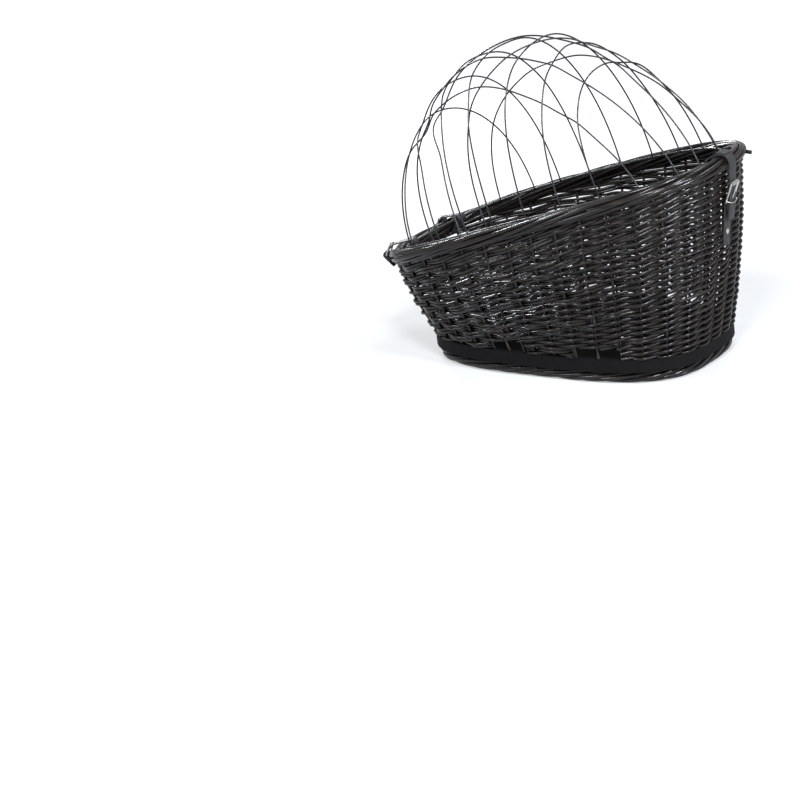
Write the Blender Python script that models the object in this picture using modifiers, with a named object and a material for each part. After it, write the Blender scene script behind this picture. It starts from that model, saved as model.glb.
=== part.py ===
# Dog bicycle basket: a dyed wicker tub on a plywood base, with a lattice wire dome hinged at its low front end.
# Metres, +Z up. +X points to the high end with the strap closure, and -Y is the near side.

import math

import bmesh
import bpy
import numpy as np
from mathutils import Matrix, Vector

# Clearances that several pieces share
GAP = 0.0003
LEATHER_PLAY = 0.0004
CUT_OVERRUN = 0.01

# Woven foot border under the base
FOOT_HEIGHT = 0.018
FOOT_WIDTH = 0.016
FOOT_INSET = 0.003
FOOT_ROUNDING = 0.005

# Plywood base board
BOARD_LENGTH = 0.457
BOARD_WIDTH = 0.280
BOARD_THICKNESS = 0.020
BOARD_SHIFT = 0.0085
BOARD_POWER = 3.1
BOARD_EDGE_ROUNDING = 0.002

# Woven wall
WALL_THICKNESS = 0.007
WALL_BELLY = 0.005
OPENING_HEIGHT = 0.014
OPENING_STAKE_WIDTH = 0.004
SMALL_OPENING_START = -0.062
SMALL_OPENING_END = -0.012
LARGE_OPENING_START = 0.0785
LARGE_OPENING_END = 0.147

# Rim border, measured along its centre line
RIM_LENGTH = 0.545
RIM_WIDTH = 0.334
RIM_FRONT_HEIGHT = 0.152
RIM_REAR_HEIGHT = 0.307
RIM_BOW = 0.005
RIM_RADIUS = 0.0125
RIM_POWER_FRONT = 2.9
RIM_POWER_REAR = 2.55

# Base ring of the wire dome, measured along its centre line
RING_WIRE = 0.004
RING_REAR_GAP = 0.010
RING_REAR_HALF = RIM_LENGTH / 2 - RIM_RADIUS - RING_REAR_GAP
RING_FRONT_GAP = 0.0275
RING_FRONT_BAR = RIM_LENGTH / 2 - RING_FRONT_GAP
RING_CORNER_REACH = 0.011
RING_FRONT_HALF = RING_FRONT_BAR + RING_CORNER_REACH
RING_SIDE_GAP = 0.007
RING_WIDTH = RIM_WIDTH - 2 * (RIM_RADIUS + RING_SIDE_GAP)
RING_FRONT_STAND = 0.017
RING_FRONT_HEIGHT = RIM_FRONT_HEIGHT + RING_FRONT_STAND
RING_REAR_HEIGHT = RIM_REAR_HEIGHT
RING_BOW = 0.006
RING_POWER_FRONT = 3.2
RING_POWER_REAR = 2.4
RING_BAR_SHARPNESS = 24

# Hoops of the wire dome
HOOP_WIRE = 0.0025
DOME_RISE = 0.250
HOOP_TIP_DROP = 0.001
WELD_GAP = 0.0014
WELD_REACH = 0.020
WELD_PASSES = 120
WELD_SHARE = 0.25
HOOP_POINTS = 34
# Each hoop: angle round the ring of its two feet, tilt of its plane, rise over its feet as a share of the
# dome's, forward lean as a share of the rise, and how square its near and far shoulders are (2 is an ellipse).
HOOP_SHARES = (
    (-135.5, 120.5, 16, 0.672, 0.09, 1.75, 2.15),
    (-120.5, 111.0, 0, 0.808, 0.29, 2.25, 2.30),
    (-109.0, 99.5, 0, 0.896, 0.31, 2.40, 2.55),
    (-98.5, 86.5, -1, 0.948, 0.25, 3.15, 2.10),
    (-85.5, 73.0, -2, 0.924, 0.25, 2.65, 1.90),
    (-71.5, 60.5, -18, 0.884, 0.59, 2.10, 1.85),
    (-57.5, 46.5, -23, 0.736, 0.73, 2.50, 2.05),
    (-138.5, -43.0, 0, 0.792, 0.28, 2.00, 1.45),
    (-123.0, -24.5, 7, 0.872, 0.49, 1.95, 1.70),
    (-111.5, -8.0, 19, 0.948, 0.44, 2.40, 1.70),
    (-101.0, 31.5, 1, 0.892, 0.32, 2.45, 1.60),
    (133.0, 24.5, -1, 0.756, 0.20, 2.50, 1.55),
)
# Crossings whose order is set, by the numbers of the two hoops: 1 where the second one lies outside
CROSSING_ORDER = {(2, 8): -1, (2, 9): -1, (8, 9): 1}

# Leather straps
STRAP_THICKNESS = 0.002
STRAP_WIDTH = 0.016
FRONT_STRAP_SPACING = 0.140
FRONT_STRAP_TURN = math.radians(12)
FRONT_STRAP_PLAY = 0.0015
HINGE_PLAY = 0.0022
CHAPE_RETURN = 0.009
CHAPE_TURN = 30
TAIL_TURN = 58
NOTCH_PLAY = 0.0012

# Front buckles
FRONT_BUCKLE_WIRE = 0.0024
FRONT_BUCKLE_PITCH = 0.018
FRONT_HEEL_STAND = 0.0063
FRONT_HEEL_ANGLE = 190
PRONG_WIRE = 0.0018
PRONG_HOLE_SHARE = 0.66
BUCKLE_CORNER = 0.002

# Rear closure
REAR_STRAP_WIDTH = 0.018
REAR_BUCKLE_WIRE = 0.0026
REAR_BUCKLE_PITCH = 0.031
REAR_ROLLER_RADIUS = 0.0029
REAR_HEEL_DROP = 0.058
REAR_HEEL_HEIGHT = RIM_REAR_HEIGHT - REAR_HEEL_DROP
REAR_STRAP_RUN = 0.067
REAR_STRAP_END_HEIGHT = REAR_HEEL_HEIGHT - REAR_STRAP_RUN
REAR_RIVET_DROP = 0.045
REAR_RIVET_HEIGHT = REAR_HEEL_HEIGHT - REAR_RIVET_DROP
REAR_TAIL_RUN = 0.027
REAR_TAIL_END_HEIGHT = REAR_HEEL_HEIGHT - REAR_TAIL_RUN
REAR_STRAP_STAND = 0.0004
REAR_TAIL_STAND = 0.0024
TONGUE_END_TURN = 62
RIVET_HEAD_RADIUS = 0.0042
RIVET_HEAD_HEIGHT = 0.0014
RIVET_SHANK_RADIUS = 0.0016

# Clamp set for the carrier of a bicycle
CLAMP_SPACING = 0.180
CLAMP_LENGTH = 0.150
CLAMP_WIDTH = 0.025
CLAMP_THICKNESS = 0.0022
CLAMP_ROD_GAP = 0.0082
CLAMP_CORNER = 0.004
BOLT_SPACING = 0.084
BOLT_RADIUS = 0.0024
BOLT_HEAD_RADIUS = 0.0068
BOLT_HEAD_HEIGHT = 0.0030
BOLT_FLOOR_GAP = 0.0005
WASHER_RADIUS = 0.0055
WASHER_THICKNESS = 0.0010
NUT_HUB_RADIUS = 0.0045
NUT_HEIGHT = 0.0052
NUT_SPAN = 0.026
NUT_WING_THICKNESS = 0.0022

# Facet counts
RIM_POINTS = 72
RING_POINTS = 72
WALL_ROWS = 7
ROUND_SIDES = 24
ARC_STEP = math.radians(15)

COLLECTION = None
CUTTERS = None


# Scene set-up

def clear_scene():
    for obj in list(bpy.data.objects):
        bpy.data.objects.remove(obj, do_unlink=True)


def make_collections():
    global COLLECTION, CUTTERS
    COLLECTION = bpy.data.collections.new("dog_bicycle_basket")
    CUTTERS = bpy.data.collections.new("cutters")
    bpy.context.scene.collection.children.link(COLLECTION)
    bpy.context.scene.collection.children.link(CUTTERS)


def make_material(name, colour, roughness, metallic=0.0):
    material = bpy.data.materials.new(name)
    material.use_nodes = True
    shader = material.node_tree.nodes["Principled BSDF"]
    shader.inputs["Base Color"].default_value = (*colour, 1.0)
    shader.inputs["Roughness"].default_value = roughness
    shader.inputs["Metallic"].default_value = metallic
    return material


def dyed_willow():
    return make_material("dyed_willow", (0.035, 0.028, 0.024), 0.45)


def painted_board():
    return make_material("painted_board", (0.040, 0.040, 0.043), 0.55)


def coated_wire():
    return make_material("coated_wire", (0.020, 0.020, 0.020), 0.35, 0.3)


def black_leather():
    return make_material("black_leather", (0.045, 0.043, 0.042), 0.60)


def nickel_steel():
    return make_material("nickel_steel", (0.75, 0.73, 0.68), 0.25, 1.0)


def zinc_steel():
    return make_material("zinc_steel", (0.55, 0.56, 0.58), 0.40, 1.0)


# Small modelling helpers

def finish(obj, name, material, origin=(0.0, 0.0, 0.0)):
    """Names an object, gives it its material and moves its origin to a point while its shape stays in place."""
    obj.name = name
    obj.data.name = name
    obj.data.materials.clear()
    obj.data.materials.append(material)
    if obj.type == "MESH":
        obj.data.shade_smooth()
        obj.data.set_sharp_from_angle(angle=math.radians(35))
    move_origin(obj, Vector(origin))
    return obj


def move_origin(obj, origin):
    inverse = obj.matrix_basis.to_3x3().inverted()
    shift = inverse @ (obj.location - origin)
    if obj.type == "MESH":
        for vertex in obj.data.vertices:
            vertex.co += shift
    else:
        for spline in obj.data.splines:
            for point in spline.points:
                point.co = (*(point.co.to_3d() + shift), 1.0)
    obj.location = origin


def add_object(data, name="piece", cutter=False):
    obj = bpy.data.objects.new(name, data)
    (CUTTERS if cutter else COLLECTION).objects.link(obj)
    if cutter:
        obj.hide_render = True
        obj.display_type = "WIRE"
    return obj


def wire(points, radius, cyclic=False, resolution=2):
    """A round wire along the points."""
    curve = bpy.data.curves.new("wire", "CURVE")
    curve.dimensions = "3D"
    curve.bevel_depth = radius
    curve.bevel_resolution = resolution
    curve.use_fill_caps = not cyclic
    curve.twist_mode = "MINIMUM"
    add_spline(curve, points, cyclic)
    return add_object(curve)


def add_spline(curve, points, cyclic):
    spline = curve.splines.new("POLY")
    spline.points.add(len(points) - 1)
    for target, point in zip(spline.points, points):
        target.co = (*point, 1.0)
    spline.use_cyclic_u = cyclic
    return spline


def flat_plate(outline, thickness):
    """A flat outline in XY, given half its thickness up and down from z = 0."""
    curve = bpy.data.curves.new("plate", "CURVE")
    curve.dimensions = "2D"
    curve.fill_mode = "BOTH"
    curve.extrude = thickness / 2
    add_spline(curve, [(x, y, 0.0) for x, y in outline], True)
    return add_object(curve)


def as_mesh(obj):
    """Turns a curve into a welded mesh, so that it can be cut."""
    bpy.context.view_layer.update()
    graph = bpy.context.evaluated_depsgraph_get()
    mesh = bpy.data.meshes.new_from_object(obj.evaluated_get(graph))
    work = bmesh.new()
    work.from_mesh(mesh)
    bmesh.ops.remove_doubles(work, verts=work.verts, dist=GAP / 100)
    bmesh.ops.recalc_face_normals(work, faces=work.faces)
    work.to_mesh(mesh)
    work.free()
    solid = add_object(mesh)
    solid.matrix_world = obj.matrix_world.copy()
    bpy.data.objects.remove(obj, do_unlink=True)
    return solid


def box_cutter(low, high):
    work = bmesh.new()
    bmesh.ops.create_cube(work, size=1.0)
    low, high = Vector(low), Vector(high)
    for vertex in work.verts:
        vertex.co = (low + high) / 2 + Vector(c * s for c, s in zip(vertex.co, high - low))
    mesh = bpy.data.meshes.new("cutter")
    work.to_mesh(mesh)
    work.free()
    return add_object(mesh, "cutter", cutter=True)


def rod_cutter(start, end, radius):
    return rod(start, end, radius, cutter=True)


def rod(start, end, radius, cutter=False):
    """A round bar between two points."""
    start, end = Vector(start), Vector(end)
    work = bmesh.new()
    bmesh.ops.create_cone(
        work,
        cap_ends=True,
        segments=ROUND_SIDES,
        radius1=radius,
        radius2=radius,
        depth=(end - start).length,
    )
    turn = Vector((0, 0, 1)).rotation_difference(end - start).to_matrix()
    for vertex in work.verts:
        vertex.co = (start + end) / 2 + turn @ vertex.co
    mesh = bpy.data.meshes.new("rod")
    work.to_mesh(mesh)
    work.free()
    return add_object(mesh, "rod", cutter=cutter)


def boolean(obj, other, operation="DIFFERENCE"):
    modifier = obj.modifiers.new(operation.lower(), "BOOLEAN")
    modifier.operation = operation
    modifier.solver = "EXACT"
    modifier.object = other


def apply_modifiers(obj):
    """Replaces a mesh by its evaluated shape."""
    bpy.context.view_layer.update()
    graph = bpy.context.evaluated_depsgraph_get()
    mesh = bpy.data.meshes.new_from_object(obj.evaluated_get(graph))
    obj.modifiers.clear()
    obj.data = mesh
    return obj


def turned(profile, axis_point, name="turned"):
    """A solid of revolution about a vertical axis: the profile holds (radius, height) from top to bottom."""
    work = bmesh.new()
    ends = [work.verts.new((radius, 0.0, height)) for radius, height in profile]
    for first, second in zip(ends, ends[1:]):
        work.edges.new((first, second))
    if profile[0][0] > 0:
        work.edges.new((ends[-1], ends[0]))
    mesh = bpy.data.meshes.new(name)
    work.to_mesh(mesh)
    work.free()
    obj = add_object(mesh, name)
    screw = obj.modifiers.new("turn", "SCREW")
    screw.steps = ROUND_SIDES
    screw.render_steps = ROUND_SIDES
    screw.use_merge_vertices = True
    screw.merge_threshold = GAP / 100
    obj.location = axis_point
    return obj


# Plan outlines and heights

def oval(angle, front_half, rear_half, half_width, power_front, power_rear):
    """A point of a superellipse whose front and rear halves differ."""
    across, along = math.sin(angle), math.cos(angle)
    half, power = (front_half, power_front) if along < 0 else (rear_half, power_rear)
    scale = (abs(along) ** power + abs(across) ** power) ** (-1 / power)
    return half * along * scale, half_width * across * scale


def board_plan(angle, inset=0.0):
    half, half_width = BOARD_LENGTH / 2 - inset, BOARD_WIDTH / 2 - inset
    x, y = oval(angle, half, half, half_width, BOARD_POWER, BOARD_POWER)
    return x + BOARD_SHIFT, y


def rim_plan(angle, inset=0.0):
    half, half_width = RIM_LENGTH / 2 - inset, RIM_WIDTH / 2 - inset
    return oval(angle, half, half, half_width, RIM_POWER_FRONT, RIM_POWER_REAR)


def bowed(x, start, end, start_height, end_height, bow):
    """Height on a nearly straight slope that rises by a small bow at its middle."""
    share = (x - start) / (end - start)
    return start_height + (end_height - start_height) * share + bow * (1 - (2 * share - 1) ** 2)


def rim_height(x):
    return bowed(x, -RIM_LENGTH / 2, RIM_LENGTH / 2, RIM_FRONT_HEIGHT, RIM_REAR_HEIGHT, RIM_BOW)


def wall_top(x):
    """Height of the wall's upper edge, clear of the sloping rim border that rests on it."""
    slope = (RIM_REAR_HEIGHT - RIM_FRONT_HEIGHT + 4 * RIM_BOW) / RIM_LENGTH
    return rim_height(x) - RIM_RADIUS * math.hypot(1, slope) - GAP


def ring_plan(angle, inset=0.0):
    """The dome's ring: an oval whose front end is a straight bar across the basket."""
    front, rear, half_width = RING_FRONT_HALF - inset, RING_REAR_HALF - inset, RING_WIDTH / 2 - inset
    x, y = oval(angle, front, rear, half_width, RING_POWER_FRONT, RING_POWER_REAR)
    bar = RING_FRONT_BAR - inset
    if x < 0:
        x *= (1 + (-x / bar) ** RING_BAR_SHARPNESS) ** (-1 / RING_BAR_SHARPNESS)
    return x, y


def ring_height(x):
    return bowed(x, -RING_FRONT_BAR, RING_REAR_HALF, RING_FRONT_HEIGHT, RING_REAR_HEIGHT, RING_BOW)


def around(count):
    return [2 * math.pi * step / count for step in range(count)]


BOARD_BOTTOM = FOOT_HEIGHT
BOARD_TOP = FOOT_HEIGHT + BOARD_THICKNESS


# Base

def base_board(material):
    outline = [board_plan(angle) for angle in around(RIM_POINTS)]
    board = as_mesh(flat_plate(outline, BOARD_THICKNESS))
    board.location.z = BOARD_BOTTOM + BOARD_THICKNESS / 2
    bevel = board.modifiers.new("edge", "BEVEL")
    bevel.width = BOARD_EDGE_ROUNDING
    bevel.segments = 2
    bevel.limit_method = "ANGLE"
    bevel.angle_limit = math.radians(60)
    for x, y in bolt_places():
        hole = (x, y, BOARD_BOTTOM - CUT_OVERRUN), (x, y, BOARD_TOP + CUT_OVERRUN)
        boolean(board, rod_cutter(*hole, BOLT_RADIUS + GAP))
    return finish(apply_modifiers(board), "base_board", material)


def foot_border(material):
    """The border woven under the base: a rounded band that stands on its flat underside."""
    low, high = 0.0, FOOT_HEIGHT - GAP
    half = FOOT_WIDTH / 2
    section = [
        (-half + FOOT_ROUNDING / 2, low),
        (half - FOOT_ROUNDING / 2, low),
        (half, low + FOOT_ROUNDING),
        (half, high - FOOT_ROUNDING),
        (half - FOOT_ROUNDING / 2, high),
        (-half + FOOT_ROUNDING / 2, high),
        (-half, high - FOOT_ROUNDING),
        (-half, low + FOOT_ROUNDING),
    ]
    loops = []
    for angle in around(RIM_POINTS):
        loops.append([])
        for across, height in section:
            x, y = board_plan(angle, FOOT_INSET + half - across)
            loops[-1].append((x, y, height))
    return finish(loft(loops, closed=True), "foot_border", material)


def loft(loops, closed):
    """Skins between like loops of points, each loop a closed section."""
    work = bmesh.new()
    rings = [[work.verts.new(point) for point in loop] for loop in loops]
    pairs = list(zip(rings, rings[1:]))
    if closed:
        pairs.append((rings[-1], rings[0]))
    for first, second in pairs:
        for index in range(len(first)):
            after = (index + 1) % len(first)
            work.faces.new((first[index], first[after], second[after], second[index]))
    bmesh.ops.triangulate(work, faces=work.faces)
    bmesh.ops.recalc_face_normals(work, faces=work.faces)
    mesh = bpy.data.meshes.new("loft")
    work.to_mesh(mesh)
    work.free()
    return add_object(mesh)


# Wall and rim

def wall_section(angle):
    """The wall's cut at one angle round the basket: its outer line going up, then its inner line going down."""
    rim_x, rim_y = rim_plan(angle)
    low = Vector((*board_plan(angle, WALL_THICKNESS / 2), BOARD_TOP + GAP))
    high = Vector((rim_x, rim_y, wall_top(rim_x)))
    outward = Vector((rim_x, rim_y, 0)).normalized()
    outer, inner = [], []
    for row in range(WALL_ROWS + 1):
        share = row / WALL_ROWS
        middle = low.lerp(high, share) + outward * WALL_BELLY * math.sin(math.pi * share)
        across = wall_normal(angle, share) * WALL_THICKNESS / 2
        outer.append(tuple(middle + across))
        inner.append(tuple(middle - across))
    return outer + inner[::-1]


def wall_normal(angle, share):
    """The level direction square to the wall's plan at a height."""
    step = math.radians(1)
    ends = []
    for near in (angle - step, angle + step):
        low, high = Vector(board_plan(near)), Vector(rim_plan(near))
        ends.append(low.lerp(high, share))
    along = (ends[1] - ends[0]).normalized()
    return Vector((along.y, -along.x, 0.0))


def wicker_wall(material):
    wall = loft([wall_section(angle) for angle in around(RIM_POINTS)], closed=True)
    for side in (-1, 1):
        for start, end in (
            (SMALL_OPENING_START, SMALL_OPENING_END),
            (LARGE_OPENING_START, LARGE_OPENING_END),
        ):
            middle = (start + end) / 2
            for low_x, high_x in (
                (start, middle - OPENING_STAKE_WIDTH / 2),
                (middle + OPENING_STAKE_WIDTH / 2, end),
            ):
                inner_y = side * (BOARD_WIDTH / 2 - WALL_THICKNESS - 2 * CUT_OVERRUN)
                outer_y = side * (RIM_WIDTH / 2 + CUT_OVERRUN)
                low = (low_x, min(inner_y, outer_y), BOARD_TOP - CUT_OVERRUN)
                high = (high_x, max(inner_y, outer_y), BOARD_TOP + OPENING_HEIGHT)
                boolean(wall, box_cutter(low, high))
        boolean(wall, strap_notch(side))
    boolean(wall, rivet_hole())
    return finish(apply_modifiers(wall), "wicker_wall", material)


def front_turn(side):
    """Turns a front closure in plan, so that it lies square across the rim border."""
    pivot = Matrix.Translation((front_rim_centre()[0], side * FRONT_STRAP_SPACING / 2, 0))
    return pivot @ Matrix.Rotation(-side * FRONT_STRAP_TURN, 4, "Z") @ pivot.inverted()


def strap_notch(side):
    """The slot under the rim border that a front strap passes through."""
    x, z = front_rim_centre()
    y = side * FRONT_STRAP_SPACING / 2
    half = STRAP_WIDTH / 2 + NOTCH_PLAY
    depth = RIM_RADIUS + FRONT_STRAP_PLAY + STRAP_THICKNESS + NOTCH_PLAY
    low = (x - RIM_RADIUS - CUT_OVERRUN, y - half, z - depth)
    high = (x + RIM_RADIUS + CUT_OVERRUN, y + half, z)
    notch = box_cutter(low, high)
    notch.matrix_basis = front_turn(side)
    return notch


def rim_border(material):
    points = []
    for angle in around(RIM_POINTS):
        x, y = rim_plan(angle)
        points.append((x, y, rim_height(x)))
    rim = wire(points, RIM_RADIUS, cyclic=True, resolution=4)
    return finish(rim, "rim_border", material)


# Wire dome

def dome_axis():
    """The middle of the line through the ring at the two front straps that it swings in."""
    x = front_crossing(ring_plan, RING_WIDTH, RING_FRONT_BAR)
    return Vector((x, 0.0, ring_height(x)))


def dome_ring(material):
    points = []
    for angle in around(RING_POINTS):
        x, y = ring_plan(angle)
        points.append((x, y, ring_height(x)))
    ring = wire(points, RING_WIRE / 2, cyclic=True)
    return finish(ring, "dome_ring", material, dome_axis())


def hoop_foot(angle):
    """Where a hoop's leg meets the inner side of the ring."""
    inset = RING_WIRE / 2 + HOOP_WIRE / 2 + GAP
    x, y = ring_plan(math.radians(angle), inset)
    return np.array((x, y, ring_height(x) - HOOP_TIP_DROP))


def hoop_line(first_angle, second_angle, tilt, rise_share, lean, first_power, second_power, count):
    """Points of one hoop: a superellipse over the line between its feet, in a tilted plane, leaning forward."""
    first, second = hoop_foot(first_angle), hoop_foot(second_angle)
    along = (second - first)[:2]
    along = along / np.linalg.norm(along)
    sideways = np.array((-along[1], along[0], 0.0))
    tilt = math.radians(tilt)
    upward = np.array((0.0, 0.0, 1.0)) * math.cos(tilt) + sideways * math.sin(tilt)
    sweep = np.linspace(math.pi, 0.0, count)
    level, height = np.cos(sweep), np.sin(sweep)
    power = np.where(level < 0, first_power, second_power)
    scale = (np.abs(level) ** power + np.abs(height) ** power) ** (-1 / power)
    level, height = level * scale, height * scale * DOME_RISE * rise_share
    points = (first + second) / 2 + level[:, None] * (second - first) / 2 + height[:, None] * upward
    points[:, 0] -= lean * height * math.cos(tilt)
    return points


def even_points(points, count):
    """The same line with points spaced evenly along it."""
    steps = np.linalg.norm(np.diff(points, axis=0), axis=1)
    run = np.concatenate(([0.0], np.cumsum(steps)))
    wanted = np.linspace(0.0, run[-1], count)
    return np.stack([np.interp(wanted, run, points[:, axis]) for axis in range(3)], axis=1)


def closest_crossings(first, second, centre):
    """Index pairs where two hoops pass over each other, seen from inside the dome."""
    first_way = (first - centre) / np.linalg.norm(first - centre, axis=1)[:, None]
    second_way = (second - centre) / np.linalg.norm(second - centre, axis=1)[:, None]
    apart = np.arccos(np.clip(first_way @ second_way.T, -1.0, 1.0))
    nearest = apart.argmin(axis=1)
    least = apart[np.arange(len(first)), nearest]
    found = []
    for index in range(1, len(first) - 1):
        if least[index] <= least[index - 1] and least[index] < least[index + 1]:
            if least[index] * np.linalg.norm(first[index] - centre) < HOOP_WIRE:
                found.append((index, nearest[index]))
    return found


def welded_hoops():
    """All hoops, bent gently in or out along their lines so that wires lie on each other where they cross."""
    fine = 4 * HOOP_POINTS
    hoops = [even_points(hoop_line(*hoop, 8 * fine), fine) for hoop in HOOP_SHARES]
    centre = np.array((0.0, 0.0, ring_height(0.0)))
    apart = HOOP_WIRE + WELD_GAP
    window = np.sin(np.linspace(0.0, math.pi, fine)) ** 0.5
    order = {}
    for _ in range(WELD_PASSES):
        shifts = [np.zeros(fine) for _ in hoops]
        for low in range(len(hoops)):
            for high in range(low + 1, len(hoops)):
                for i, j in closest_crossings(hoops[low], hoops[high], centre):
                    rise = np.linalg.norm(hoops[high][j] - centre) - np.linalg.norm(hoops[low][i] - centre)
                    place = (low, high, round(i / fine * len(hoops)))
                    found = order.setdefault(place, 1 if rise >= 0 else -1)
                    error = CROSSING_ORDER.get((low + 1, high + 1), found) * apart - rise
                    for hoop, index, way in ((low, i, -1), (high, j, 1)):
                        run = np.linalg.norm(hoops[hoop] - hoops[hoop][index], axis=1)
                        shifts[hoop] += way * WELD_SHARE * error * np.exp(-((run / WELD_REACH) ** 2))
        for hoop, shift in zip(hoops, shifts):
            outward = hoop - centre
            outward /= np.linalg.norm(outward, axis=1)[:, None]
            hoop += outward * (shift * window)[:, None]
    return [even_points(hoop, HOOP_POINTS) for hoop in hoops]


def dome_hoops(material):
    made = []
    for number, points in enumerate(welded_hoops(), start=1):
        hoop = wire([tuple(point) for point in points], HOOP_WIRE / 2, resolution=1)
        made.append(finish(hoop, f"dome_hoop_{number:02d}", material, dome_axis()))
    return made


# Straps: each is drawn in XZ as a belt that runs round the bars and rods it wraps

def belt(stops):
    """Points of a belt past round stops (x, z, radius, turn): turn is 1 where it runs counter-clockwise."""
    lines = []
    for (ax, az, ar, at), (bx, bz, br, bt) in zip(stops, stops[1:]):
        gap = Vector((bx - ax, bz - az))
        side = bt * br - at * ar
        heading = math.atan2(gap.y, gap.x) - math.atan2(side, math.sqrt(gap.length_squared - side**2))
        lines.append(heading)
    points = []
    for index, (x, z, radius, turn) in enumerate(stops):
        if radius == 0:
            points.append(Vector((x, z)))
            continue
        first = lines[index - 1] if index > 0 else lines[0]
        last = lines[index] if index < len(lines) else lines[-1]
        sweep = ((last - first) * turn) % (2 * math.pi)
        count = max(1, math.ceil(sweep / ARC_STEP))
        for step in range(count + 1):
            out = first + turn * (sweep * step / count) - turn * math.pi / 2
            points.append(Vector((x + radius * math.cos(out), z + radius * math.sin(out))))
    return points


def ribbon_outline(line, thickness):
    """The closed outline of a strap of even thickness along a line."""
    left, right = [], []
    for index, point in enumerate(line):
        before = line[max(index - 1, 0)]
        after = line[min(index + 1, len(line) - 1)]
        first = (point - before).normalized() if index > 0 else (after - point).normalized()
        second = (after - point).normalized() if index < len(line) - 1 else first
        normal = Vector((-(first + second).y, (first + second).x)).normalized()
        reach = thickness / 2 / max(normal.dot(Vector((-second.y, second.x))), 0.5)
        left.append(point + normal * reach)
        right.append(point - normal * reach)
    return left + right[::-1]


def strap(line, width, y):
    """A leather strap: its line in XZ, its width along Y."""
    outline = ribbon_outline(line, STRAP_THICKNESS)
    band = flat_plate([tuple(point) for point in outline], width)
    band.rotation_euler = (math.pi / 2, 0, 0)
    band.location = (0, y, 0)
    return as_mesh(band)


def polar(centre, angle, radius):
    angle = math.radians(angle)
    return centre[0] + radius * math.cos(angle), centre[1] + radius * math.sin(angle)


def front_crossing(plan, width, length):
    """The x at which an outline passes a front strap."""
    angle = math.pi - math.asin(FRONT_STRAP_SPACING / width)
    for _ in range(ROUND_SIDES):
        x, y = plan(angle)
        angle += (y - FRONT_STRAP_SPACING / 2) / length
    return x


def front_rim_centre():
    x = front_crossing(rim_plan, RIM_WIDTH, RIM_LENGTH / 2)
    return x, rim_height(x)


def front_bars():
    """Heel bar and top bar of a front buckle, as (x, z): the top bar lies closer, on the strap."""
    centre = front_rim_centre()
    heel_radius = RIM_RADIUS + FRONT_HEEL_STAND
    top_radius = RIM_RADIUS + FRONT_STRAP_PLAY + STRAP_THICKNESS + LEATHER_PLAY + FRONT_BUCKLE_WIRE / 2
    square = heel_radius**2 + top_radius**2 - FRONT_BUCKLE_PITCH**2
    opening = math.degrees(math.acos(square / (2 * heel_radius * top_radius)))
    return polar(centre, FRONT_HEEL_ANGLE, heel_radius), polar(centre, FRONT_HEEL_ANGLE - opening, top_radius)


def front_strap_line():
    """From the fold on the heel bar, under the rim, round the ring, over the rim and through the buckle."""
    x, z = front_rim_centre()
    heel, _ = front_bars()
    half = STRAP_THICKNESS / 2
    hold = RIM_RADIUS + FRONT_STRAP_PLAY + half
    axis = dome_axis()
    ring_x = x + (axis.x - x) / math.cos(FRONT_STRAP_TURN)
    fold = FRONT_BUCKLE_WIRE / 2 + GAP + half
    start = polar((x, z), FRONT_HEEL_ANGLE + CHAPE_TURN, hold + STRAP_THICKNESS + NOTCH_PLAY)
    end = polar((x, z), FRONT_HEEL_ANGLE + TAIL_TURN, hold + 3 * STRAP_THICKNESS + NOTCH_PLAY)
    over = fold + half + GAP + half
    return belt(
        [
            (*start, 0, 0),
            (*heel, fold, -1),
            (x, z, hold, 1),
            (ring_x, axis.z, RING_WIRE / 2 + HINGE_PLAY + half, 1),
            (x, z, hold, 1),
            (*heel, over, 1),
            (*end, 0, 0),
        ]
    )


def buckle_frame(heel, top, inner_width, wire_size, y):
    """A rectangular wire frame in the plane of its two bars."""
    heel, top = Vector((heel[0], 0, heel[1])), Vector((top[0], 0, top[1]))
    up = (top - heel).normalized()
    across = Vector((0, 1, 0))
    half = inner_width / 2 + wire_size / 2
    points = []
    for centre, along, side in ((heel, -1, -1), (heel, -1, 1), (top, 1, 1), (top, 1, -1)):
        corner = centre + across * side * half
        legs = (-across * side, -up * along) if along * side < 0 else (-up * along, -across * side)
        points.append(corner + legs[0] * BUCKLE_CORNER)
        points.append(corner + (legs[0] + legs[1]) * BUCKLE_CORNER * (1 - math.sqrt(0.5)))
        points.append(corner + legs[1] * BUCKLE_CORNER)
    points = [tuple(point + across * y) for point in points]
    return wire(points, wire_size / 2, cyclic=True)


def prong(heel, top, top_radius, heel_radius, side, y):
    """A prong hooked round the heel bar, its tip on the outer side of the other bar: side is 1 at the front."""
    half = PRONG_WIRE / 2
    eye = heel_radius + GAP + half
    rest = top_radius + GAP + half
    away = Vector((top[0] - heel[0], top[1] - heel[1])).normalized()
    outward = Vector((-away.y, away.x)) * side
    tip = Vector(top) + outward * rest + away * PRONG_WIRE
    start = Vector(heel) + away * half - outward * eye
    line = belt([(*start, 0, 0), (*heel, eye, -side), (*tip, 0, 0)])
    return wire([(point.x, y, point.y) for point in line], half)


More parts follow.
